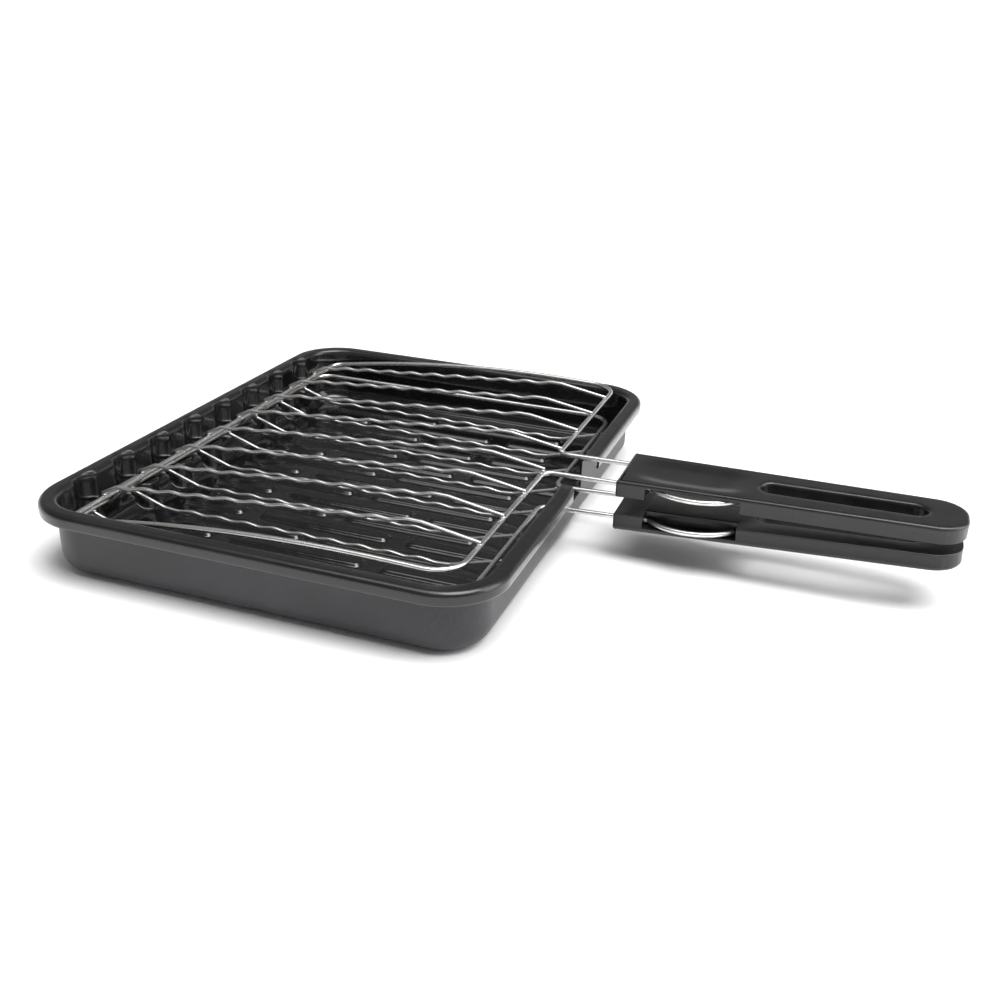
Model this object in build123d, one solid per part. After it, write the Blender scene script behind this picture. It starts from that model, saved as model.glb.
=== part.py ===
from build123d import *
from math import tan, radians
import os

# Covered fish grill: an enamelled drip pan and a double-sided wire grid that lies in it.
# Millimetres. Origin at the centre of the pan's base, +Z up, +X towards the handles.

# Drip pan
RIM_LENGTH = 200.0          # along X, over the rolled edge
RIM_WIDTH = 254.0           # along Y, over the rolled edge
RIM_CORNER = 26.0
PAN_HEIGHT = 31.0
SHEET = 1.0
FLANGE = 6.6                # from the rolled edge to the outer face of the wall
LIP_DROP = 5.5
LIP_ROUND = 2.4
BASE_ROUND = 9.0

# Notch in the rim for the handle legs
NOTCH_HALF_WIDTH = 16.0
NOTCH_FLOOR = 14.4
NOTCH_CORNER = 4.0

# Wire pitch, shared by the grid, the niches and the supports
WIRE_PITCH = 26.0
WIRE_COUNT = 8

# Niches pressed in the hinge-side wall and supports pressed in both end walls
NICHE_RADIUS = 10.0
NICHE_DEPTH = 3.0
NICHE_BOTTOM = 9.5
NICHE_TOP = 29.2
SUPPORT_RADIUS = 9.0
SUPPORT_DEPTH = 5.2
SUPPORT_TOP = 15.1

# Raised bars on the pan's floor, laid like bricks
BAR_LENGTH = 63.0
BAR_WIDTH = 8.6
BAR_RISE = 1.5
BAR_STEP = 71.4
BAR_ROW_PITCH = 13.0
BAR_ROWS = 17
BAR_END = 58.7              # +X end of the bars in the even rows
FLOOR_HALF_LENGTH = 82.0

# Grid wire
FRAME_RADIUS = 1.1
WIRE_RADIUS = 0.85
WELD = 0.1                  # how far welded wires sink into each other

# Upper grid
UPPER_LEFT = -83.1
UPPER_LEFT_Z = 23.0
UPPER_RIGHT = 83.5
UPPER_RIGHT_Z = 33.1
UPPER_HALF_WIDTH = 115.5
UPPER_ARCH = 7.4            # height of the tangents' crossing over the chord
UPPER_ARCH_RADIUS = 690.0
UPPER_LEFT_CORNER = 6.0
UPPER_RIGHT_CORNER = 13.0
UPPER_KNEES = ((-76.3, 28.8), (60.4, 39.0))
UPPER_SLOPE = 0.8           # degrees, handle and legs rise towards the tail

# Lower grid
LOWER_LEFT = -89.9
LOWER_RIGHT = 82.7
LOWER_Z = 16.8
LOWER_HALF_WIDTH = 112.3
LOWER_LEFT_CORNER = 8.0
LOWER_RIGHT_CORNER = 13.0
LOWER_KNEES = ((-73.3, 9.1), (62.2, 9.0))
LOWER_SLOPE = 2.4

# Crimp of the cross wires
CRIMP_HALF_PITCH = 6.5
CRIMP_HEIGHT = 0.6
CRIMP_BEND = 12.0
KNEE_BEND = 4.0

# Handle legs
LEG_Y = 11.6
LEG_BEND = 5.0
LEG_END = 130.8

# Handles, in their own frame: the wire plane is z = 0, the front face is x = 0
HANDLE_FRONT = 116.8
HANDLE_LENGTH = 139.0
HANDLE_FRONT_WIDTH = 35.2
HANDLE_TAIL_WIDTH = 30.0
HANDLE_THICKNESS = 7.2
HANDLE_TAIL_ROUND = 13.0
HANDLE_EDGE = 1.4
LEG_HOLE_RADIUS = 1.4
SLOT_START = 57.5
SLOT_END = 123.5
SLOT_WIDTH = 11.0
WINDOW_START = 12.6
WINDOW_END = 51.4
WINDOW_INNER = 9.5
WINDOW_SKIN = 2.0

# Release springs: bowed wires in the handles' side windows
SPRING_BOW = 7.5
SPRING_GAP = 1.3            # from the window's rear wall to the bow's end

# Hinge clips round the two left bars
CLIP_LENGTH = 14.0
CLIP_SHEET = 0.5
CLIP_CLEARANCE = 0.05
CLIP_PLACES = {"hinge_clip_front": -75.0, "hinge_clip_rear": 29.5}


def rounded_block(length, width, corner, low, high):
    """A block with rounded upright corners between two heights."""
    outline = RectangleRounded(length, width, corner)
    return Pos(0, 0, low) * extrude(outline, high - low)


def box_between(x0, x1, y0, y1, z0, z1):
    """An axis-aligned box from its two corners."""
    centre = Pos((x0 + x1) / 2, (y0 + y1) / 2, (z0 + z1) / 2)
    return centre * Box(x1 - x0, y1 - y0, z1 - z0)


def row_places(count, pitch):
    """Evenly spaced places, centred on zero."""
    return [(i - (count - 1) / 2) * pitch for i in range(count)]


def bent_path(points, radii):
    """Straight runs joined by tangent arcs, one radius for each inner point."""
    corners = [Vector(*p) for p in points]
    edges = []
    start = corners[0]
    for before, corner, after, radius in zip(corners, corners[1:], corners[2:], radii):
        back = (before - corner).normalized()
        ahead = (after - corner).normalized()
        half_turn = radians(180 - back.get_angle(ahead)) / 2
        reach = radius * tan(half_turn)
        arc_start = corner + back * reach
        arc_end = corner + ahead * reach
        middle = (back + ahead).normalized()
        inset = (reach**2 + radius**2) ** 0.5 - radius
        edges.append(Line(start, arc_start))
        edges.append(ThreePointArc(arc_start, corner + middle * inset, arc_end))
        start = arc_end
    edges.append(Line(start, corners[-1]))
    return Wire(edges)


def round_wire(path, radius):
    """A round wire along a path."""
    plane = Plane(origin=path @ 0, z_dir=path % 0)
    return sweep(plane * Circle(radius), path=path)


def wall_half(extent):
    """Distance from the centre to the outer face of a wall."""
    return extent / 2 - FLANGE


def pan_shell():
    """The pressed tray with its flange and turned-down edge."""
    length = 2 * wall_half(RIM_LENGTH)
    width = 2 * wall_half(RIM_WIDTH)
    corner = RIM_CORNER - FLANGE
    outer = rounded_block(length, width, corner, 0, PAN_HEIGHT)
    outer = fillet(outer.edges().group_by(Axis.Z)[0], BASE_ROUND)
    inner = rounded_block(length - 2 * SHEET, width - 2 * SHEET, corner - SHEET, SHEET, PAN_HEIGHT + 1)
    inner = fillet(inner.edges().group_by(Axis.Z)[0], BASE_ROUND - SHEET)
    lip_low = PAN_HEIGHT - LIP_DROP
    cap = rounded_block(RIM_LENGTH, RIM_WIDTH, RIM_CORNER, lip_low, PAN_HEIGHT)
    cap = fillet(cap.edges().group_by(Axis.Z)[-1], LIP_ROUND)
    hollow = rounded_block(
        RIM_LENGTH - 2 * SHEET, RIM_WIDTH - 2 * SHEET, RIM_CORNER - SHEET, lip_low, PAN_HEIGHT - SHEET
    )
    hollow = fillet(hollow.edges().group_by(Axis.Z)[-1], LIP_ROUND - SHEET)
    return outer, cap - hollow, inner


def niche(y, radius, low, high):
    """One upright half-round niche body on the hinge-side wall."""
    x = NICHE_RADIUS - NICHE_DEPTH - wall_half(RIM_LENGTH)
    return Pos(x, y, (low + high) / 2) * Cylinder(radius, high - low)


def supports(side):
    """Half-round posts on an end wall that carry the lower frame, clear of the hinge clips."""
    x = side * (wall_half(RIM_LENGTH) - SHEET - SUPPORT_DEPTH + SUPPORT_RADIUS)
    posts = []
    for y in row_places(WIRE_COUNT - 1, WIRE_PITCH):
        in_notch = side > 0 and abs(y) < WIRE_PITCH / 2
        under_clip = side < 0 and min(abs(y - place) for place in CLIP_PLACES.values()) < CLIP_LENGTH
        if in_notch or under_clip:
            continue
        post = Pos(x, y, SUPPORT_TOP / 2) * Cylinder(SUPPORT_RADIUS, SUPPORT_TOP)
        posts.append(fillet(post.edges().group_by(Axis.Z)[-1], 1.5))
    return posts


def floor_bars():
    """Raised bars on the floor in staggered rows."""
    bars = []
    for row, y in enumerate(row_places(BAR_ROWS, BAR_ROW_PITCH)):
        end = BAR_END - (row % 2) * BAR_STEP / 2 + BAR_STEP
        while end > -FLOOR_HALF_LENGTH + BAR_WIDTH:
            high = min(end, FLOOR_HALF_LENGTH)
            low = max(end - BAR_LENGTH, -FLOOR_HALF_LENGTH)
            end -= BAR_STEP
            if high - low < 2 * BAR_WIDTH:
                continue
            bar = extrude(RectangleRounded(high - low, BAR_WIDTH, BAR_WIDTH / 3), BAR_RISE)
            bar = fillet(bar.edges().group_by(Axis.Z)[-1], BAR_RISE * 0.6)
            bars.append(Pos((low + high) / 2, y, SHEET) * bar)
    return bars


def rim_notch():
    """The opening cut down through the rim and the handle-side wall."""
    notch = box_between(
        wall_half(RIM_LENGTH) - 3 * SHEET,
        RIM_LENGTH / 2 + 1,
        -NOTCH_HALF_WIDTH,
        NOTCH_HALF_WIDTH,
        NOTCH_FLOOR,
        PAN_HEIGHT + 1,
    )
    return fillet(notch.edges().filter_by(Axis.X).group_by(Axis.Z)[0], NOTCH_CORNER)


def make_drip_pan():
    outer, rim, inner = pan_shell()
    for y in row_places(WIRE_COUNT, WIRE_PITCH):
        outer = outer + niche(y, NICHE_RADIUS, NICHE_BOTTOM, NICHE_TOP + SHEET)
        inner = inner + niche(y, NICHE_RADIUS - SHEET, NICHE_BOTTOM + SHEET, NICHE_TOP)
    # Posts stand inside the wall's mid-line, so they never show outside.
    core = box_between(
        -wall_half(RIM_LENGTH) + SHEET / 2,
        wall_half(RIM_LENGTH) - SHEET / 2,
        -wall_half(RIM_WIDTH),
        wall_half(RIM_WIDTH),
        SHEET / 2,
        SUPPORT_TOP,
    )
    posts = [post & core for side in (-1, 1) for post in supports(side)]
    solid_tray = outer & rounded_block(
        2 * wall_half(RIM_LENGTH), 2 * wall_half(RIM_WIDTH), RIM_CORNER - FLANGE, 0, PAN_HEIGHT
    )
    tray = outer + rim - inner
    for post in posts:
        tray = tray + (post & solid_tray)
    for bar in floor_bars():
        tray = tray + bar
    return tray - rim_notch()


def leg_point(corner_x, corner_z, slope, x):
    """Height of a leg's centre at a place along X."""
    return corner_z + (x - corner_x) * tan(radians(slope))


def make_frame(left, left_z, right, right_z, half_width, left_corner, right_corner, slope, arch=None):
    """One grid frame with its two handle legs, bent from a single wire."""
    end_z = leg_point(right, right_z, slope, LEG_END)
    half = [(LEG_END, LEG_Y, end_z), (right, LEG_Y, right_z), (right, half_width, right_z)]
    radii = [LEG_BEND, right_corner]
    if arch:
        half.append(((left + right) / 2, half_width, (left_z + right_z) / 2 + arch[0]))
        radii.append(arch[1])
    half.append((left, half_width, left_z))
    radii.append(left_corner)
    mirrored = [(x, -y, z) for x, y, z in reversed(half)]
    return round_wire(bent_path(half + mirrored, radii + radii[::-1]), FRAME_RADIUS)


def make_cross_wire(y, ends, knees):
    """One crimped cross wire with a straight knee at each end."""
    (x0, z0), (x1, z1) = knees
    steps = int((x1 - x0) / CRIMP_HALF_PITCH)
    points = [(ends[0][0], y, ends[0][1])]
    radii = []
    for step in range(steps + 1):
        share = step / steps
        sway = CRIMP_HEIGHT * (-1) ** step * (0 < step < steps)
        points.append((x0 + share * (x1 - x0), y, z0 + share * (z1 - z0) + sway))
        radii.append(CRIMP_BEND if 0 < step < steps else KNEE_BEND)
    points.append((ends[1][0], y, ends[1][1]))
    return round_wire(bent_path(points, radii), WIRE_RADIUS)


def make_cross_wires():
    """Upper wires lie on their frame, and lower wires hang under theirs."""
    seat = FRAME_RADIUS + WIRE_RADIUS - WELD
    overrun = FRAME_RADIUS * 0.7
    upper_ends = ((UPPER_LEFT - overrun, UPPER_LEFT_Z + seat), (UPPER_RIGHT + overrun, UPPER_RIGHT_Z + seat))
    lower_ends = ((LOWER_LEFT - overrun, LOWER_Z - seat), (LOWER_RIGHT + overrun, LOWER_Z - seat))
    wires = {}
    for number, y in enumerate(row_places(WIRE_COUNT, WIRE_PITCH), start=1):
        wires[f"upper_wire_{number}"] = make_cross_wire(y, upper_ends, UPPER_KNEES)
        wires[f"lower_wire_{number}"] = make_cross_wire(y, lower_ends, LOWER_KNEES)
    return wires


def handle_outline():
    """Plan view of a handle: wide front, rounded tail, on the plane z = 0."""
    front = HANDLE_FRONT_WIDTH / 2
    tail = HANDLE_TAIL_WIDTH / 2
    outline = make_face(Polyline((0, -front), (HANDLE_LENGTH, -tail), (HANDLE_LENGTH, tail), (0, front), close=True))
    tail_corners = outline.vertices().group_by(Axis.X)[-1]
    return fillet(tail_corners, HANDLE_TAIL_ROUND)


def make_handle():
    """One moulded handle with its outer face up, windows open to the inner face."""
    half = HANDLE_THICKNESS / 2
    grip = Pos(0, 0, -half) * extrude(handle_outline(), HANDLE_THICKNESS)
    grip = fillet(grip.edges().group_by(Axis.Z)[-1], HANDLE_EDGE)
    slot_middle = (SLOT_START + SLOT_END) / 2
    slot = extrude(SlotOverall(SLOT_END - SLOT_START, SLOT_WIDTH), 2 * HANDLE_THICKNESS, both=True)
    grip = grip - Pos(slot_middle, 0, 0) * slot
    for side in (-1, 1):
        y0, y1 = sorted((side * WINDOW_INNER, side * HANDLE_FRONT_WIDTH))
        window = box_between(WINDOW_START, WINDOW_END, y0, y1, -half - 1, half - WINDOW_SKIN)
        hole = Pos(WINDOW_START / 2, side * LEG_Y, 0) * Rot(0, 90, 0) * Cylinder(LEG_HOLE_RADIUS, WINDOW_START + 2)
        grip = grip - window - hole
    return grip


def spring_bow(side):
    """One bowed wire between the leg's end and the window's rear wall."""
    start = LEG_END - HANDLE_FRONT
    end = WINDOW_END - SPRING_GAP
    middle = ((start + end) / 2, side * (LEG_Y + SPRING_BOW), 0)
    bow = ThreePointArc((start, side * LEG_Y, 0), middle, (end, side * LEG_Y, 0))
    return round_wire(Wire([bow]), FRAME_RADIUS)


def handle_place(corner_x, corner_z, slope):
    """Where a handle's own frame sits on the legs."""
    return Pos(HANDLE_FRONT, 0, leg_point(corner_x, corner_z, slope, HANDLE_FRONT)) * Rot(0, -slope, 0)


def make_clip(y):
    """A strap bent round both left bars: the upper bar turns in it."""
    ends = [Vector(LOWER_LEFT, y, LOWER_Z), Vector(UPPER_LEFT, y, UPPER_LEFT_Z)]
    span = ends[1] - ends[0]
    plane = Plane(origin=(ends[0] + ends[1]) * 0.5, x_dir=span, z_dir=(0, 1, 0))
    inner = 2 * (FRAME_RADIUS + CLIP_CLEARANCE)
    outer = inner + 2 * CLIP_SHEET
    loop = SlotCenterToCenter(span.length, outer) - SlotCenterToCenter(span.length, inner)
    return extrude(plane * loop, CLIP_LENGTH / 2, both=True)


def make_parts():
    """Every node by name."""
    parts = {"drip_pan": make_drip_pan()}
    parts["upper_frame"] = make_frame(
        UPPER_LEFT,
        UPPER_LEFT_Z,
        UPPER_RIGHT,
        UPPER_RIGHT_Z,
        UPPER_HALF_WIDTH,
        UPPER_LEFT_CORNER,
        UPPER_RIGHT_CORNER,
        UPPER_SLOPE,
        arch=(UPPER_ARCH, UPPER_ARCH_RADIUS),
    )
    parts["lower_frame"] = make_frame(
        LOWER_LEFT,
        LOWER_Z,
        LOWER_RIGHT,
        LOWER_Z,
        LOWER_HALF_WIDTH,
        LOWER_LEFT_CORNER,
        LOWER_RIGHT_CORNER,
        LOWER_SLOPE,
    )
    parts.update(make_cross_wires())
    upper_place = handle_place(UPPER_RIGHT, UPPER_RIGHT_Z, UPPER_SLOPE)
    lower_place = handle_place(LOWER_RIGHT, LOWER_Z, LOWER_SLOPE)
    handle = make_handle()
    parts["upper_handle"] = upper_place * handle
    parts["lower_handle"] = lower_place * Rot(180, 0, 0) * handle
    bows = {"front": -1, "rear": 1}
    for name, side in bows.items():
        parts[f"upper_release_spring_{name}"] = upper_place * spring_bow(side)
        parts[f"lower_release_spring_{name}"] = lower_place * spring_bow(side)
    for name, y in CLIP_PLACES.items():
        parts[name] = make_clip(y)
    return parts


os.makedirs("parts", exist_ok=True)
for node, shape in make_parts().items():
    export_step(shape, f"parts/{node}.step")
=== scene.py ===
import math

import bmesh
import bpy
import numpy as np
from mathutils import Matrix, Vector, geometry, noise


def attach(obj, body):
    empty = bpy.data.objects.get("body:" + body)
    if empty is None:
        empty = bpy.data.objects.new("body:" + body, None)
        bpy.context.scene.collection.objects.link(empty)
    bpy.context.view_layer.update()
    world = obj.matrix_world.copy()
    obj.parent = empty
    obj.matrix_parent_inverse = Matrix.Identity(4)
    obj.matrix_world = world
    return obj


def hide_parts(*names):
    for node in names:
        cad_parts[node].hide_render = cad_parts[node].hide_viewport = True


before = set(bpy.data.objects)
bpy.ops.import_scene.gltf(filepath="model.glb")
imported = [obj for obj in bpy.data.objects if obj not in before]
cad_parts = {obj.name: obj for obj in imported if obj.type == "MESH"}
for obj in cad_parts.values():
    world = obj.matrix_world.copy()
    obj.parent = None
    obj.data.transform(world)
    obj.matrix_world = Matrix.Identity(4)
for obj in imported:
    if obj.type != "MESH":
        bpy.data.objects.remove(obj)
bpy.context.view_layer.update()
MM = 0.001

# Shapes shared with the CAD model, in millimetres
FLOOR_X = 84.4              # half length of the pan's flat floor
FLOOR_Y = 111.4
FLOOR_CORNER = 10.4
SHEET = 1.0
BASE_ROUND = 8.0            # inner radius between floor and wall
PAN_HEIGHT = 31.0
RIM_BEND = 2.2              # radius where the wall turns out into the rim
RIM_ROLL = 2.4              # radius of the rim's outer edge
RIM_REACH = 15.6            # from the flat floor's edge to the rim's outer edge
LIP_LOW = 25.5
WIRE_PITCH = 26.0
ROW_PITCH = 13.0
NOTCH_HALF = 16.0
NOTCH_LOW = 14.4
NOTCH_CORNER = 4.0
NICHE_RADIUS = 9.0
NICHE_DEPTH = 3.0
NICHE_FLOOR = 9.5
POST_RADIUS = 9.0
POST_DEPTH = 5.2
POST_TOP = 15.1
CLIP_PLACES = (-75.0, 29.5)
BAR_RISE = 1.5
BAR_HALF_WIDTH = 4.3
BAR_CORNER = 2.9
BAR_RUNS = (((-75.7, -12.7), (-4.3, 58.7)), ((-82.0, -48.4), (-40.0, 23.0), (31.4, 82.0)))

HANDLE_LENGTH = 139.0
HANDLE_FRONT = 17.6
HANDLE_TAIL = 15.0
HANDLE_HALF = 3.6
TAIL_ROUND = 13.0
SLOT = (57.5, 123.5, 5.5)
WINDOW = (12.6, 51.4, 9.5)
SKIN = 2.0
LEG_Y = 11.6
LEG_HOLE = 1.4
HANDLE_X = 116.8


# ---------- helpers ----------

def smooth_step(a, b, x):
    """0 below a, 1 above b, with a soft start and end."""
    t = np.clip((np.asarray(x, float) - a) / (b - a), 0, 1)
    return t * t * (3 - 2 * t)


def soft_max(a, b, k):
    """The larger of two values with a rounded crossing."""
    return 0.5 * (a + b + np.sqrt((a - b) ** 2 + k * k))


def new_object(name, points, faces):
    """A mesh object from millimetre points."""
    mesh = bpy.data.meshes.new(name)
    mesh.from_pydata([tuple(float(c) * MM for c in p) for p in points], [], faces)
    mesh.validate()
    obj = bpy.data.objects.new(name, mesh)
    bpy.context.scene.collection.objects.link(obj)
    return obj


def applied(obj):
    """The object with its modifiers turned into mesh."""
    bpy.context.view_layer.update()
    depsgraph = bpy.context.evaluated_depsgraph_get()
    mesh = bpy.data.meshes.new_from_object(obj.evaluated_get(depsgraph))
    obj.modifiers.clear()
    obj.data = mesh
    return obj


def combine(obj, other, operation):
    """Boolean of two objects; the second one is removed."""
    modifier = obj.modifiers.new("cut", "BOOLEAN")
    modifier.operation = operation
    modifier.solver = "EXACT"
    modifier.object = other
    applied(obj)
    bpy.data.objects.remove(other)
    return obj


def smooth_by_angle(obj, degrees):
    """Smooth shading with sharp edges kept above an angle."""
    mesh = obj.data
    mesh.polygons.foreach_set("use_smooth", [True] * len(mesh.polygons))
    bm = bmesh.new()
    bm.from_mesh(mesh)
    for edge in bm.edges:
        edge.smooth = len(edge.link_faces) != 2 or edge.calc_face_angle(0) < math.radians(degrees)
    bm.to_mesh(mesh)
    bm.free()


# ---------- materials ----------

class Shader:
    """A node material with one Principled shader and a few short ways to feed it."""

    def __init__(self, name, **settings):
        self.material = bpy.data.materials.new(name)
        self.material.use_nodes = True
        self.tree = self.material.node_tree
        self.bsdf = self.tree.nodes["Principled BSDF"]
        for key, value in settings.items():
            self.bsdf.inputs[key.replace("_", " ")].default_value = value
        self.coords = self.tree.nodes.new("ShaderNodeTexCoord")

    def stretched(self, scale):
        node = self.tree.nodes.new("ShaderNodeMapping")
        node.inputs["Scale"].default_value = scale
        self.tree.links.new(self.coords.outputs["Object"], node.inputs["Vector"])
        return node.outputs["Vector"]

    def noise(self, scale, detail=4.0, roughness=0.5, vector=None):
        node = self.tree.nodes.new("ShaderNodeTexNoise")
        node.inputs["Scale"].default_value = scale
        node.inputs["Detail"].default_value = detail
        node.inputs["Roughness"].default_value = roughness
        self.tree.links.new(vector or self.coords.outputs["Object"], node.inputs["Vector"])
        return node.outputs["Fac"]

    def cells(self, scale):
        node = self.tree.nodes.new("ShaderNodeTexVoronoi")
        node.inputs["Scale"].default_value = scale
        self.tree.links.new(self.coords.outputs["Object"], node.inputs["Vector"])
        return node.outputs["Distance"]

    def height(self):
        node = self.tree.nodes.new("ShaderNodeSeparateXYZ")
        self.tree.links.new(self.coords.outputs["Object"], node.inputs["Vector"])
        return node.outputs["Z"]

    def ramp(self, source, stops):
        node = self.tree.nodes.new("ShaderNodeValToRGB")
        elements = node.color_ramp.elements
        while len(elements) < len(stops):
            elements.new(0.5)
        for element, (place, colour) in zip(elements, stops):
            element.position = place
            element.color = (*colour, 1.0) if isinstance(colour, tuple) else (colour, colour, colour, 1.0)
        self.tree.links.new(source, node.inputs["Fac"])
        return node.outputs["Color"]

    def span(self, source, low, high, to_low, to_high):
        node = self.tree.nodes.new("ShaderNodeMapRange")
        node.inputs["From Min"].default_value = low
        node.inputs["From Max"].default_value = high
        node.inputs["To Min"].default_value = to_low
        node.inputs["To Max"].default_value = to_high
        self.tree.links.new(source, node.inputs["Value"])
        return node.outputs["Result"]

    def math(self, operation, a, b):
        node = self.tree.nodes.new("ShaderNodeMath")
        node.operation = operation
        for socket, value in zip(node.inputs, (a, b)):
            if isinstance(value, (int, float)):
                socket.default_value = value
            else:
                self.tree.links.new(value, socket)
        return node.outputs["Value"]

    def feed(self, socket, source):
        self.tree.links.new(source, self.bsdf.inputs[socket])

    def bump(self, source, distance, strength=1.0):
        node = self.tree.nodes.new("ShaderNodeBump")
        node.inputs["Distance"].default_value = distance
        node.inputs["Strength"].default_value = strength
        self.tree.links.new(source, node.inputs["Height"])
        self.tree.links.new(node.outputs["Normal"], self.bsdf.inputs["Normal"])


def gloss_enamel():
    """Glassy black enamel inside the pan, duller on the rim."""
    s = Shader("enamel_gloss", Coat_Weight=0.35, Coat_Roughness=0.06)
    cloud = s.noise(38.0, 3.0)
    s.feed("Base Color", s.ramp(cloud, ((0.3, (0.003, 0.003, 0.0035)), (0.7, (0.007, 0.0068, 0.008)))))
    fine = s.noise(900.0, 3.0, 0.6)
    dull = s.span(s.height(), 0.027, 0.0305, 0.0, 0.22)
    s.feed("Roughness", s.math("ADD", s.span(cloud, 0.3, 0.7, 0.11, 0.19), dull))
    peel = s.math("ADD", s.math("MULTIPLY", s.noise(150.0, 2.0), 1.0), s.math("MULTIPLY", fine, 0.12))
    s.bump(peel, 0.00035, 0.5)
    return s.material


def satin_enamel():
    """Satin charcoal enamel outside, with the fine speckle of its ground coat."""
    s = Shader("enamel_satin")
    speck = s.noise(2600.0, 2.0, 0.7)
    cloud = s.noise(30.0, 3.0)
    tone = s.math("ADD", s.math("MULTIPLY", speck, 0.7), s.math("MULTIPLY", cloud, 0.3))
    stops = ((0.36, (0.008, 0.008, 0.0095)), (0.52, (0.019, 0.0185, 0.022)), (0.68, (0.048, 0.046, 0.055)))
    s.feed("Base Color", s.ramp(tone, stops))
    s.feed("Roughness", s.span(speck, 0.3, 0.7, 0.34, 0.48))
    s.bump(s.math("ADD", speck, s.math("MULTIPLY", s.noise(160.0, 2.0), 1.5)), 0.00012, 0.5)
    return s.material


def bright_wire():
    """Chrome-plated wire with faint drawing marks and dull patches."""
    s = Shader("wire_chrome", Metallic=1.0)
    patch = s.noise(210.0, 4.0, 0.6)
    s.feed("Base Color", s.ramp(patch, ((0.3, (0.62, 0.61, 0.59)), (0.6, (0.80, 0.79, 0.775)))))
    s.feed("Roughness", s.span(patch, 0.3, 0.7, 0.36, 0.25))
    s.bump(s.noise(900.0, 2.0), 0.00004, 0.3)
    return s.material


def weld_metal():
    """Plated weld nuggets, rougher than the wire."""
    s = Shader("weld_chrome", Metallic=1.0)
    grain = s.noise(1500.0, 4.0, 0.7)
    s.feed("Base Color", s.ramp(grain, ((0.3, (0.30, 0.29, 0.28)), (0.7, (0.78, 0.77, 0.75)))))
    s.feed("Roughness", s.span(grain, 0.3, 0.7, 0.38, 0.2))
    s.bump(grain, 0.0003, 0.6)
    return s.material


def clip_steel():
    """Rolled strip steel with fine lines along the strap."""
    s = Shader("clip_steel", Metallic=1.0)
    lines = s.noise(1.0, 3.0, 0.6, s.stretched((2600.0, 120.0, 2600.0)))
    s.feed("Base Color", s.ramp(lines, ((0.3, (0.42, 0.42, 0.415)), (0.7, (0.66, 0.655, 0.64)))))
    s.feed("Roughness", s.span(lines, 0.3, 0.7, 0.42, 0.28))
    s.bump(lines, 0.00008, 0.4)
    return s.material


def phenolic():
    """Moulded black phenolic, semi-gloss with a faint brown mottle."""
    s = Shader("phenolic", Coat_Weight=0.12, Coat_Roughness=0.15)
    cloud = s.noise(75.0, 5.0, 0.6)
    s.feed("Base Color", s.ramp(cloud, ((0.3, (0.0045, 0.0043, 0.0042)), (0.7, (0.0115, 0.0107, 0.0097)))))
    fine = s.noise(1800.0, 3.0, 0.6)
    s.feed("Roughness", s.span(cloud, 0.3, 0.7, 0.27, 0.38))
    s.bump(s.math("ADD", fine, s.math("MULTIPLY", s.noise(120.0, 2.0), 1.2)), 0.00008, 0.45)
    return s.material


def pale_floor():
    s = Shader("studio_floor", Roughness=0.9)
    s.feed("Base Color", s.ramp(s.noise(3.0, 2.0), ((0.3, (0.93, 0.93, 0.93)), (0.7, (0.95, 0.95, 0.95)))))
    return s.material


# ---------- pan ----------

def grid_lines():
    """Lines of the floor mesh: close together where the bars end and at the corners."""
    half_row = [0, 1.2, 2.2, 3.0, 3.6, 4.1, 4.6, 5.1, 5.6, 6.1, 6.5]
    ys = set()
    for row in range(-8, 9):
        for offset in half_row:
            ys.add(round(row * ROW_PITCH + offset, 4))
            ys.add(round(row * ROW_PITCH - offset, 4))
    ys.add(FLOOR_Y)
    ys.add(-FLOOR_Y)
    marks = [FLOOR_X, -FLOOR_X, FLOOR_X - FLOOR_CORNER, FLOOR_CORNER - FLOOR_X]
    for runs in BAR_RUNS:
        for low, high in runs:
            for offset in (0, 0.45, 0.9, 1.4, 2.0, 2.8):
                marks += [low + offset, high - offset]
            marks += [low - 0.5, high + 0.5]
    marks = sorted({round(m, 4) for m in marks if abs(m) <= FLOOR_X})
    xs = [marks[0]]
    for mark in marks[1:]:
        gap = mark - xs[-1]
        if gap < 0.3 and mark != marks[-1]:
            continue
        limit = 1.1 if abs(mark) > FLOOR_X - FLOOR_CORNER else 3.0
        count = max(1, math.ceil(gap / limit))
        start = xs[-1]
        xs += [start + gap * (i + 1) / count for i in range(count)]
    return np.array(xs), np.array(sorted(ys))


def round_corner(x, y):
    """Moves a point of the floor's rectangle in so that its corners are round."""
    cx = FLOOR_X - FLOOR_CORNER
    cy = FLOOR_Y - FLOOR_CORNER
    u = max(0.0, (abs(x) - cx) / FLOOR_CORNER)
    v = max(0.0, (abs(y) - cy) / FLOOR_CORNER)
    if u == 0 or v == 0:
        return x, y
    px = cx + FLOOR_CORNER * u * math.sqrt(1 - v * v / 2)
    py = cy + FLOOR_CORNER * v * math.sqrt(1 - u * u / 2)
    return math.copysign(px, x), math.copysign(py, y)


def outward(x, y, on_x, on_y):
    """Direction from the floor's edge to the wall at a boundary point."""
    cx = FLOOR_X - FLOOR_CORNER
    cy = FLOOR_Y - FLOOR_CORNER
    dx = math.copysign(max(0.0, abs(x) - cx), x)
    dy = math.copysign(max(0.0, abs(y) - cy), y)
    if on_x and abs(y) <= cy:
        return math.copysign(1, x), 0.0
    if on_y and abs(x) <= cx:
        return 0.0, math.copysign(1, y)
    length = math.hypot(dx, dy)
    return dx / length, dy / length


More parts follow.
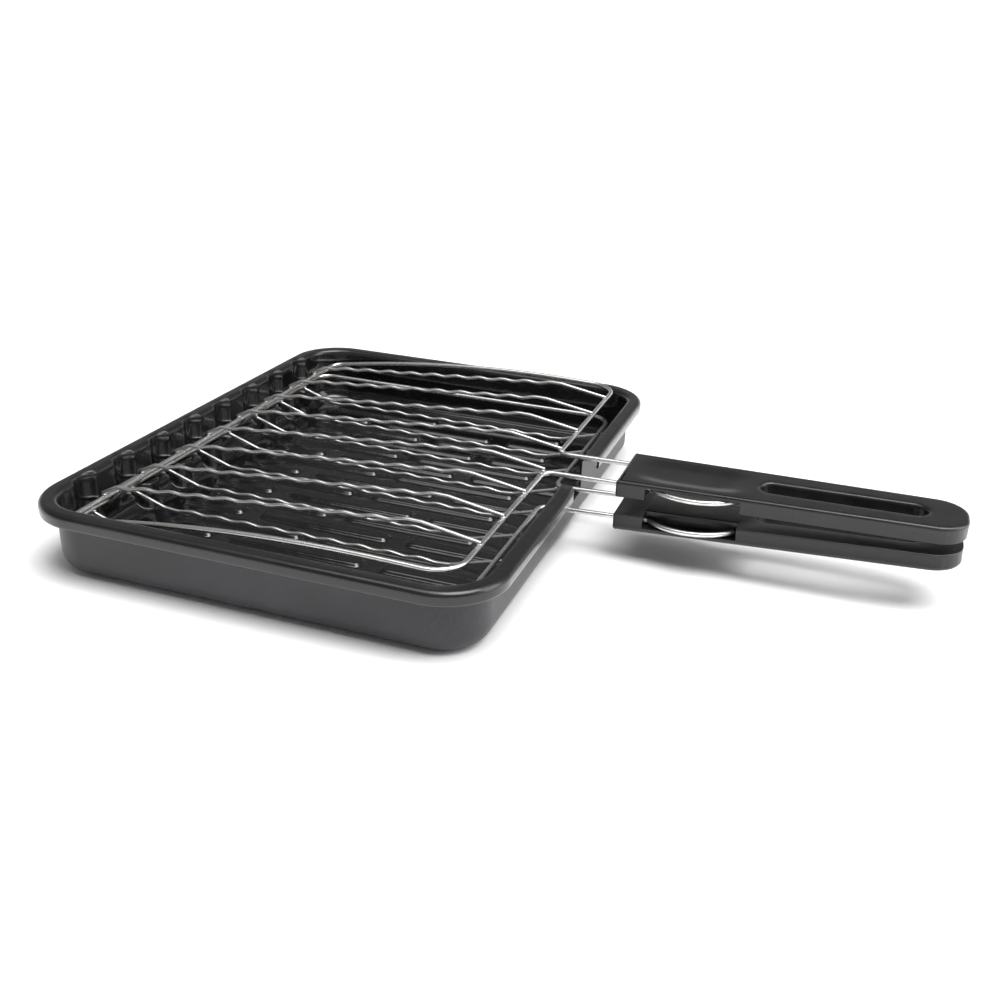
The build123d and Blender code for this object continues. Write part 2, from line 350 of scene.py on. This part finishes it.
def bar_height(x, y):
    """Height of the raised floor bars at a point."""
    row = round(y / ROW_PITCH)
    if abs(row) > 8:
        return 0.0
    for low, high in BAR_RUNS[(row + 8) % 2]:
        qx = abs(x - (low + high) / 2) - ((high - low) / 2 - BAR_CORNER)
        qy = abs(y - row * ROW_PITCH) - (BAR_HALF_WIDTH - BAR_CORNER)
        depth = BAR_CORNER - math.hypot(max(qx, 0), max(qy, 0)) - min(max(qx, qy), 0)
        if depth > -0.3:
            return BAR_RISE * float(smooth_step(-0.3, 1.5, depth))
    return 0.0


def pan_profile():
    """(distance out from the floor's edge, height) down the sheet's upper side."""
    profile = []
    for i in range(1, 12):
        a = math.radians(90 * i / 11)
        profile.append((BASE_ROUND * math.sin(a), SHEET + BASE_ROUND * (1 - math.cos(a))))
    low = SHEET + BASE_ROUND
    high = PAN_HEIGHT - RIM_BEND
    levels = [low + 0.6 * i for i in range(1, 9)]
    levels += [NOTCH_LOW, 14.8, 15.2, 15.7, 16.3, 17.0]
    levels += [17.0 + (high - 17.0) * i / 14 for i in range(1, 15)]
    profile += [(BASE_ROUND, z) for z in levels]
    for i in range(1, 9):
        a = math.radians(90 * i / 8)
        profile.append((BASE_ROUND + RIM_BEND * (1 - math.cos(a)), high + RIM_BEND * math.sin(a)))
    flat_start = BASE_ROUND + RIM_BEND
    flat_end = RIM_REACH - RIM_ROLL
    for i in range(1, 5):
        profile.append((flat_start + (flat_end - flat_start) * i / 4, PAN_HEIGHT))
    for i in range(1, 9):
        a = math.radians(90 * i / 8)
        profile.append((flat_end + RIM_ROLL * math.sin(a), PAN_HEIGHT - RIM_ROLL * (1 - math.cos(a))))
    profile += [(RIM_REACH, 27.8), (RIM_REACH, 27.0), (RIM_REACH, 26.2), (RIM_REACH - 0.08, 25.75), (RIM_REACH - 0.3, LIP_LOW)]
    return profile


def niche_reach(y, reach, z):
    """Where the hinge-side wall's sheet lies, with its niches pressed out."""
    flat_end = RIM_REACH - RIM_ROLL
    out = 0.0
    for k in range(8):
        place = (k - 3.5) * WIRE_PITCH
        chord = math.sqrt(max(0.0, NICHE_RADIUS**2 - (y - place) ** 2)) - (NICHE_RADIUS - NICHE_DEPTH)
        out = max(out, float(soft_max(chord, 0.0, 0.7)) - 0.04)
    out *= float(smooth_step(NICHE_FLOOR - 1.2, NICHE_FLOOR + 2.2, z))
    share = min(1.0, max(0.0, (flat_end - reach) / (flat_end - BASE_ROUND)))
    return reach + out * share


def post_reach(side, y, moved, z):
    """The same sheet's inner face, with the posts that carry the grid pressed in."""
    if z > 15.8:
        return moved
    for k in range(7):
        place = (k - 3) * WIRE_PITCH
        if side > 0 and k == 3:
            continue
        if side < 0 and min(abs(place - c) for c in CLIP_PLACES) < 14:
            continue
        bulge = math.sqrt(max(0.0, POST_RADIUS**2 - (y - place) ** 2)) - (POST_RADIUS - POST_DEPTH)
        bulge = (float(soft_max(bulge, 0.0, 0.8)) - 0.04) * (1 - float(smooth_step(POST_TOP - 1.0, POST_TOP + 0.7, z)))
        if bulge > 0.05:
            moved = -float(soft_max(-moved, bulge - BASE_ROUND, 0.5))
    return moved


def notch_warp(reach, y):
    """Rounds the rim's ends beside the notch."""
    radius = 5.0
    start = RIM_REACH - radius
    side = abs(y)
    if reach <= start or side < NOTCH_HALF - 0.01 or side > NOTCH_HALF + 12:
        return y
    depth = min(reach - start, radius)
    gap = radius - math.sqrt(max(0.0, radius * radius - depth * depth))
    return math.copysign(side + gap * (1 - (side - NOTCH_HALF) / 12), y)


def in_notch(y, z):
    """Whether a point of the handle-side wall is in the notch."""
    side = abs(y)
    if side >= NOTCH_HALF or z <= NOTCH_LOW:
        return False
    dy = side - (NOTCH_HALF - NOTCH_CORNER)
    dz = NOTCH_LOW + NOTCH_CORNER - z
    return not (dy > 0 and dz > 0 and math.hypot(dy, dz) > NOTCH_CORNER)


def build_pan(gloss, satin):
    xs, ys = grid_lines()
    nx, ny = len(xs), len(ys)
    points = []
    inner_points = {}
    for y in ys:
        for x in xs:
            px, py = round_corner(x, y)
            points.append((px, py, SHEET + bar_height(px, py)))
    faces = []
    for j in range(ny - 1):
        for i in range(nx - 1):
            a = j * nx + i
            faces.append((a, a + 1, a + 1 + nx, a + nx))
    rim = [(i, 0) for i in range(nx)]
    rim += [(nx - 1, j) for j in range(1, ny)]
    rim += [(i, ny - 1) for i in range(nx - 2, -1, -1)]
    rim += [(0, j) for j in range(ny - 2, 0, -1)]
    starts = []
    for i, j in rim:
        px, py = round_corner(xs[i], ys[j])
        starts.append((px, py, *outward(px, py, i in (0, nx - 1), j in (0, ny - 1))))
    ring = [j * nx + i for i, j in rim]
    marks = {}
    for reach, z in pan_profile():
        start = len(points)
        for number, (px, py, ox, oy) in enumerate(starts):
            r = reach
            y_here = py
            if abs(ox) == 1.0:
                if ox < 0:
                    r = niche_reach(py, reach, z)
                else:
                    y_here = notch_warp(reach, py)
                    marks[start + number] = (py, z)
                inner_points[start + number] = (px + ox * post_reach(ox, py, r, z), y_here, z)
            points.append((px + ox * r, y_here + oy * r, z))
        new_ring = list(range(start, start + len(starts)))
        count = len(ring)
        for n in range(count):
            m = (n + 1) % count
            faces.append((ring[n], new_ring[n], new_ring[m], ring[m]))
        ring = new_ring
    cut = set()
    for number, face in enumerate(faces):
        known = [marks[v] for v in face if v in marks]
        if len(known) == len(face):
            y = sum(k[0] for k in known) / len(known)
            z = sum(k[1] for k in known) / len(known)
            upper = points[face[0]][0] - FLOOR_X > BASE_ROUND + 0.5
            if in_notch(y, z) or (upper and abs(y) < NOTCH_HALF):
                cut.add(number)
    removed = {v for number in cut for v in faces[number]}
    kept_faces = [(f, i) for i, f in enumerate(faces) if i not in cut]
    still = {v for f, _ in kept_faces for v in f}
    centre_y = NOTCH_HALF - NOTCH_CORNER
    centre_z = NOTCH_LOW + NOTCH_CORNER
    for v in removed & still:
        y, z = marks[v]
        dy = abs(y) - centre_y
        dz = centre_z - z
        if dy > -0.3 and dz > -0.3 and points[v][0] < FLOOR_X + BASE_ROUND + 0.5:
            length = math.hypot(max(dy, 0), max(dz, 0))
            if length > 0:
                ny_ = centre_y + max(dy, 0) / length * NOTCH_CORNER
                nz_ = centre_z - max(dz, 0) / length * NOTCH_CORNER
                points[v] = (points[v][0], math.copysign(ny_, y), nz_)
    order = sorted(still)
    place = {v: n for n, v in enumerate(order)}
    obj = new_object("pan_body", [points[v] for v in order], [tuple(place[v] for v in f) for f, _ in kept_faces])
    obj.data.materials.append(gloss)
    obj.data.materials.append(satin)
    solid = obj.modifiers.new("sheet", "SOLIDIFY")
    solid.thickness = SHEET * MM
    solid.offset = -1.0
    solid.use_even_offset = True
    solid.material_offset = 1
    solid.material_offset_rim = 0
    applied(obj)
    for v, n in place.items():
        if v in inner_points and v not in removed:
            obj.data.vertices[n].co = [c * MM for c in inner_points[v]]
    smooth_by_angle(obj, 50)
    return obj


# ---------- handles ----------

def rounded_loop(corners, segments=10):
    """A closed outline from (x, y, radius) corners, each rounded by its radius."""
    loop = []
    count = len(corners)
    for n in range(count):
        before = Vector(corners[n - 1][:2])
        here = Vector(corners[n][:2])
        after = Vector(corners[(n + 1) % count][:2])
        radius = corners[n][2]
        back = (before - here).normalized()
        ahead = (after - here).normalized()
        if radius <= 0:
            loop.append(here)
            continue
        half = back.angle(ahead) / 2
        reach = radius / math.tan(half)
        centre = here + (back + ahead).normalized() * (radius / math.sin(half))
        first = here + back * reach - centre
        last = here + ahead * reach - centre
        turn = math.atan2(first.x * last.y - first.y * last.x, first.dot(last))
        for i in range(segments + 1):
            a = turn * i / segments
            c, s = math.cos(a), math.sin(a)
            loop.append(centre + Vector((first.x * c - first.y * s, first.x * s + first.y * c)))
    return loop


def shifted(loop, distance):
    """The outline moved to its left side by a distance."""
    out = []
    count = len(loop)
    for n in range(count):
        a = (loop[n] - loop[n - 1]).normalized()
        b = (loop[(n + 1) % count] - loop[n]).normalized()
        na = Vector((-a.y, a.x))
        nb = Vector((-b.y, b.x))
        middle = (na + nb).normalized()
        out.append(loop[n] + middle * (distance / max(0.3, middle.dot(na))))
    return out


def inside(loop, x, y):
    """Whether a point is inside a closed outline."""
    result = False
    for n in range(len(loop)):
        ax, ay = loop[n - 1]
        bx, by = loop[n]
        if (ay > y) != (by > y) and x < (bx - ax) * (y - ay) / (by - ay) + ax:
            result = not result
    return result


def cap(points, loops, z, spacing, lift):
    """Fills the flat between the first outline and the holes; lift adds height at inner points."""
    flat = [Vector(p) for loop in loops for p in loop]
    edges = []
    base = 0
    for loop in loops:
        edges += [(base + n, base + (n + 1) % len(loop)) for n in range(len(loop))]
        base += len(loop)
    if spacing:
        inner = shifted(loops[0], spacing * 0.6)
        holes = [shifted(loop, spacing * 0.6) for loop in loops[1:]]
        xs = [p.x for p in loops[0]]
        ys = [p.y for p in loops[0]]
        x = min(xs) + spacing
        while x < max(xs):
            y = min(ys) + spacing
            while y < max(ys):
                if inside(inner, x, y) and not any(inside(hole, x, y) for hole in holes):
                    flat.append(Vector((x, y)))
                y += spacing
            x += spacing
    verts, _, faces, origin, _, _ = geometry.delaunay_2d_cdt(flat, edges, [], 0, 1e-6)
    total = sum(len(loop) for loop in loops)
    index = {}
    for n, source in enumerate(origin):
        if source and source[0] < total:
            index[n] = -1 - source[0]
        else:
            index[n] = len(points)
            points.append((verts[n].x, verts[n].y, z + lift(verts[n].x, verts[n].y)))
    result = []
    for face in faces:
        cx = sum(verts[v].x for v in face) / len(face)
        cy = sum(verts[v].y for v in face) / len(face)
        if inside(loops[0], cx, cy) and not any(inside(hole, cx, cy) for hole in loops[1:]):
            result.append([index[v] for v in face])
    return result


def slab(name, loops, low, high, edge_low, edge_high, spacing=0.0, lift=lambda x, y: 0.0):
    """A moulded plate between two heights with rounded edges; the first outline is
    counter-clockwise and the holes are clockwise."""
    steps = 5
    levels = []
    for i in range(steps + 1):
        a = math.radians(90 * i / steps)
        if edge_low > 0 or i == 0:
            levels.append((edge_low * (1 - math.sin(a)), low + edge_low * (1 - math.cos(a))))
    for i in range(steps + 1):
        a = math.radians(90 * i / steps)
        if edge_high > 0 or i == 0:
            levels.append((edge_high * (1 - math.cos(a)), high - edge_high * (1 - math.sin(a))))
    points, faces, rings = [], [], []
    for inset, z in levels:
        ring = []
        for loop in loops:
            start = len(points)
            moved = shifted(loop, inset) if inset > 0 else loop
            points += [(p.x, p.y, z) for p in moved]
            ring.append(list(range(start, len(points))))
        rings.append(ring)
    for lower, upper in zip(rings, rings[1:]):
        for a, b in zip(lower, upper):
            count = len(a)
            faces += [(a[n], a[(n + 1) % count], b[(n + 1) % count], b[n]) for n in range(count)]
    for ring, z, flip, fill, rise in (
        (rings[0], low, True, 0.0, lambda x, y: 0.0),
        (rings[-1], high, False, spacing, lift),
    ):
        flat_ring = [v for part in ring for v in part]
        outlines = [[Vector(points[v][:2]) for v in part] for part in ring]
        for face in cap(points, outlines, z, fill, rise):
            ids = [flat_ring[-1 - v] if v < 0 else v for v in face]
            faces.append(tuple(reversed(ids)) if flip else tuple(ids))
    obj = new_object(name, points, faces)
    bm = bmesh.new()
    bm.from_mesh(obj.data)
    bmesh.ops.recalc_face_normals(bm, faces=bm.faces)
    bm.to_mesh(obj.data)
    bm.free()
    return obj


def half_width(x):
    return HANDLE_FRONT + (HANDLE_TAIL - HANDLE_FRONT) * x / HANDLE_LENGTH


def thumb_dip(x, y):
    """The shallow thumb rest pressed in a handle's outer face."""
    qx = abs(x - 29.0) / 25.5
    qy = abs(y) / 13.2
    level = (qx**4 + qy**4) ** 0.25
    return -0.95 * float(1 - smooth_step(0.55, 1.0, level))


def build_handle(name, matrix, material):
    """A handle in its own frame, outer face up, then moved on its legs."""
    full = [(0, -HANDLE_FRONT, 0.8), (HANDLE_LENGTH, -HANDLE_TAIL, TAIL_ROUND),
            (HANDLE_LENGTH, HANDLE_TAIL, TAIL_ROUND), (0, HANDLE_FRONT, 0.8)]
    x0, x1, w = SLOT
    slot = [(x0, -w, w - 0.02), (x0, w, w - 0.02), (x1, w, w - 0.02), (x1, -w, w - 0.02)]
    a, b, c = WINDOW
    body = [(0, -HANDLE_FRONT, 0.8), (a, -half_width(a), 0.5), (a, -c, 0.6), (b, -c, 0.6), (b, -half_width(b), 0.5),
            (HANDLE_LENGTH, -HANDLE_TAIL, TAIL_ROUND), (HANDLE_LENGTH, HANDLE_TAIL, TAIL_ROUND),
            (b, half_width(b), 0.5), (b, c, 0.6), (a, c, 0.6), (a, half_width(a), 0.5), (0, HANDLE_FRONT, 0.8)]
    outer_loop = rounded_loop(full, 16)
    slot_loop = rounded_loop(slot, 12)
    body_loop = shifted(rounded_loop(body, 8), 0.04)
    top = slab(name, [outer_loop, slot_loop], HANDLE_HALF - SKIN, HANDLE_HALF, 0.35, 1.4, 1.6, thumb_dip)
    base = slab(name + "_base", [body_loop, shifted(slot_loop, 0.04)], -HANDLE_HALF, HANDLE_HALF - SKIN + 0.25, 0.5, 0.0)
    combine(top, base, "UNION")
    for side in (-1, 1):
        bm = bmesh.new()
        bmesh.ops.create_cone(bm, cap_ends=True, segments=32, radius1=LEG_HOLE * MM, radius2=LEG_HOLE * MM, depth=(a + 4) * MM)
        mesh = bpy.data.meshes.new("hole")
        bm.to_mesh(mesh)
        bm.free()
        mesh.transform(Matrix.Translation(((a / 2) * MM, side * LEG_Y * MM, 0)) @ Matrix.Rotation(math.pi / 2, 4, "Y"))
        hole = bpy.data.objects.new("hole", mesh)
        bpy.context.scene.collection.objects.link(hole)
        combine(top, hole, "DIFFERENCE")
    top.data.transform(matrix)
    top.data.materials.clear()
    top.data.materials.append(material)
    for polygon in top.data.polygons:
        polygon.material_index = 0
    smooth_by_angle(top, 32)
    return top


def handle_matrix(corner_x, corner_z, slope, turned):
    z = corner_z + (HANDLE_X - corner_x) * math.tan(math.radians(slope))
    matrix = Matrix.Translation((HANDLE_X * MM, 0, z * MM)) @ Matrix.Rotation(math.radians(-slope), 4, "Y")
    if turned:
        matrix = matrix @ Matrix.Rotation(math.pi, 4, "X")
    return matrix


# ---------- welds ----------

def build_welds(name, places, material):
    """Spot-weld nuggets where the cross wires meet the frame wire."""
    bm = bmesh.new()
    for number, (x, y, z, size) in enumerate(places):
        made = bmesh.ops.create_icosphere(bm, subdivisions=3, radius=1.0)["verts"]
        for v in made:
            wobble = 1 + 0.28 * noise.noise(v.co * 1.9 + Vector((number * 3.1, 0, 0)))
            p = Vector((v.co.x * size[0], v.co.y * size[1], v.co.z * size[2])) * wobble
            v.co = (p + Vector((x, y, z))) * MM
    mesh = bpy.data.meshes.new(name)
    bm.to_mesh(mesh)
    bm.free()
    obj = bpy.data.objects.new(name, mesh)
    bpy.context.scene.collection.objects.link(obj)
    obj.data.materials.append(material)
    obj.data.polygons.foreach_set("use_smooth", [True] * len(obj.data.polygons))
    return obj


# ---------- assembly ----------

GLOSS = gloss_enamel()
SATIN = satin_enamel()
CHROME = bright_wire()
WELD = weld_metal()
STEEL = clip_steel()
PHENOLIC = phenolic()

pan = build_pan(GLOSS, SATIN)
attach(pan, "pan")
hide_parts("drip_pan")

upper_handle = build_handle("upper_grip_shell", handle_matrix(83.5, 33.1, 0.8, False), PHENOLIC)
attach(upper_handle, "upper_grip")
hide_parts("upper_handle")
lower_handle = build_handle("lower_grip_shell", handle_matrix(82.7, 16.8, 2.4, True), PHENOLIC)
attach(lower_handle, "lower_grip")
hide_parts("lower_handle")

for name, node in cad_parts.items():
    if name.startswith("hinge_clip"):
        material = STEEL
    elif "wire" in name or "frame" in name or "spring" in name:
        material = CHROME
    else:
        continue
    node.data.materials.clear()
    node.data.materials.append(material)

wire_rows = [(k - 3.5) * WIRE_PITCH for k in range(8)]
upper_spots = [(-83.2, y, 24.3, (1.3, 1.2, 0.75)) for y in wire_rows]
upper_spots += [(83.6, y, 34.3, (1.15, 1.1, 0.6)) for y in wire_rows]
upper_welds = build_welds("upper_welds", upper_spots, WELD)
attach(upper_welds, "upper_grid")
lower_spots = [(-90.0, y, 15.5, (1.3, 1.2, 0.75)) for y in wire_rows]
lower_spots += [(82.8, y, 15.5, (1.15, 1.1, 0.6)) for y in wire_rows]
lower_welds = build_welds("lower_welds", lower_spots, WELD)
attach(lower_welds, "lower_grid")


# ---------- stage, camera and light ----------

def build_stage():
    bm = bmesh.new()
    bmesh.ops.create_grid(bm, x_segments=24, y_segments=24, size=40.0)
    mesh = bpy.data.meshes.new("studio_floor")
    bm.to_mesh(mesh)
    bm.free()
    floor = bpy.data.objects.new("studio_floor", mesh)
    bpy.context.scene.collection.objects.link(floor)
    floor.location.z = -0.0002
    mesh.materials.append(pale_floor())


def build_camera():
    yaw, pitch, roll = (math.radians(a) for a in (18.77, 24.14, 2.19))
    ahead = Vector((-math.sin(yaw) * math.cos(pitch), math.cos(yaw) * math.cos(pitch), -math.sin(pitch)))
    level = Vector((math.cos(yaw), math.sin(yaw), 0))
    upright = level.cross(ahead)
    right = level * math.cos(roll) + upright * math.sin(roll)
    up = upright * math.cos(roll) - level * math.sin(roll)
    data = bpy.data.cameras.new("camera")
    data.lens = 39.97
    data.sensor_width = 36.0
    camera = bpy.data.objects.new("camera", data)
    bpy.context.scene.collection.objects.link(camera)
    rotation = Matrix((right, up, -ahead)).transposed()
    camera.matrix_world = Matrix.Translation((0.2086, -0.4368, 0.2174)) @ rotation.to_4x4()
    bpy.context.scene.camera = camera


def area_light(name, place, target, size, power, shape="RECTANGLE"):
    data = bpy.data.lights.new(name, "AREA")
    data.shape = shape
    data.size, data.size_y = size
    data.energy = power
    light = bpy.data.objects.new(name, data)
    light.location = place
    light.rotation_euler = (Vector(target) - Vector(place)).to_track_quat("-Z", "Y").to_euler()
    bpy.context.scene.collection.objects.link(light)


def sun_light(name, direction, strength, angle):
    data = bpy.data.lights.new(name, "SUN")
    data.energy = strength
    data.angle = math.radians(angle)
    light = bpy.data.objects.new(name, data)
    light.rotation_euler = (-Vector(direction)).to_track_quat("-Z", "Y").to_euler()
    bpy.context.scene.collection.objects.link(light)


def build_light():
    world = bpy.data.worlds.new("studio")
    bpy.context.scene.world = world
    world.use_nodes = True
    tree = world.node_tree
    coords = tree.nodes.new("ShaderNodeTexCoord")
    split = tree.nodes.new("ShaderNodeSeparateXYZ")
    ramp = tree.nodes.new("ShaderNodeValToRGB")
    tree.links.new(coords.outputs["Generated"], split.inputs["Vector"])
    tree.links.new(split.outputs["Z"], ramp.inputs["Fac"])
    elements = ramp.color_ramp.elements
    while len(elements) < 4:
        elements.new(0.5)
    for element, (place, value) in zip(elements, ((0.0, 1.0), (0.1, 1.0), (0.26, 0.14), (1.0, 0.22))):
        element.position = place
        element.color = (value, value, value * 1.01, 1)
    tree.links.new(ramp.outputs["Color"], tree.nodes["Background"].inputs["Color"])
    tree.nodes["Background"].inputs["Strength"].default_value = 1.05
    sun_light("key", (0.35, -0.1, 1.0), 3.0, 42)
    area_light("right", (1.1, 0.15, 0.55), (0.05, 0, 0.02), (0.7, 0.9), 7)
    area_light("overhead", (0.0, -0.25, 1.0), (0.05, 0, 0), (0.9, 0.5), 4)


build_stage()
build_camera()
build_light()
bpy.context.scene.view_settings.view_transform = "Standard"
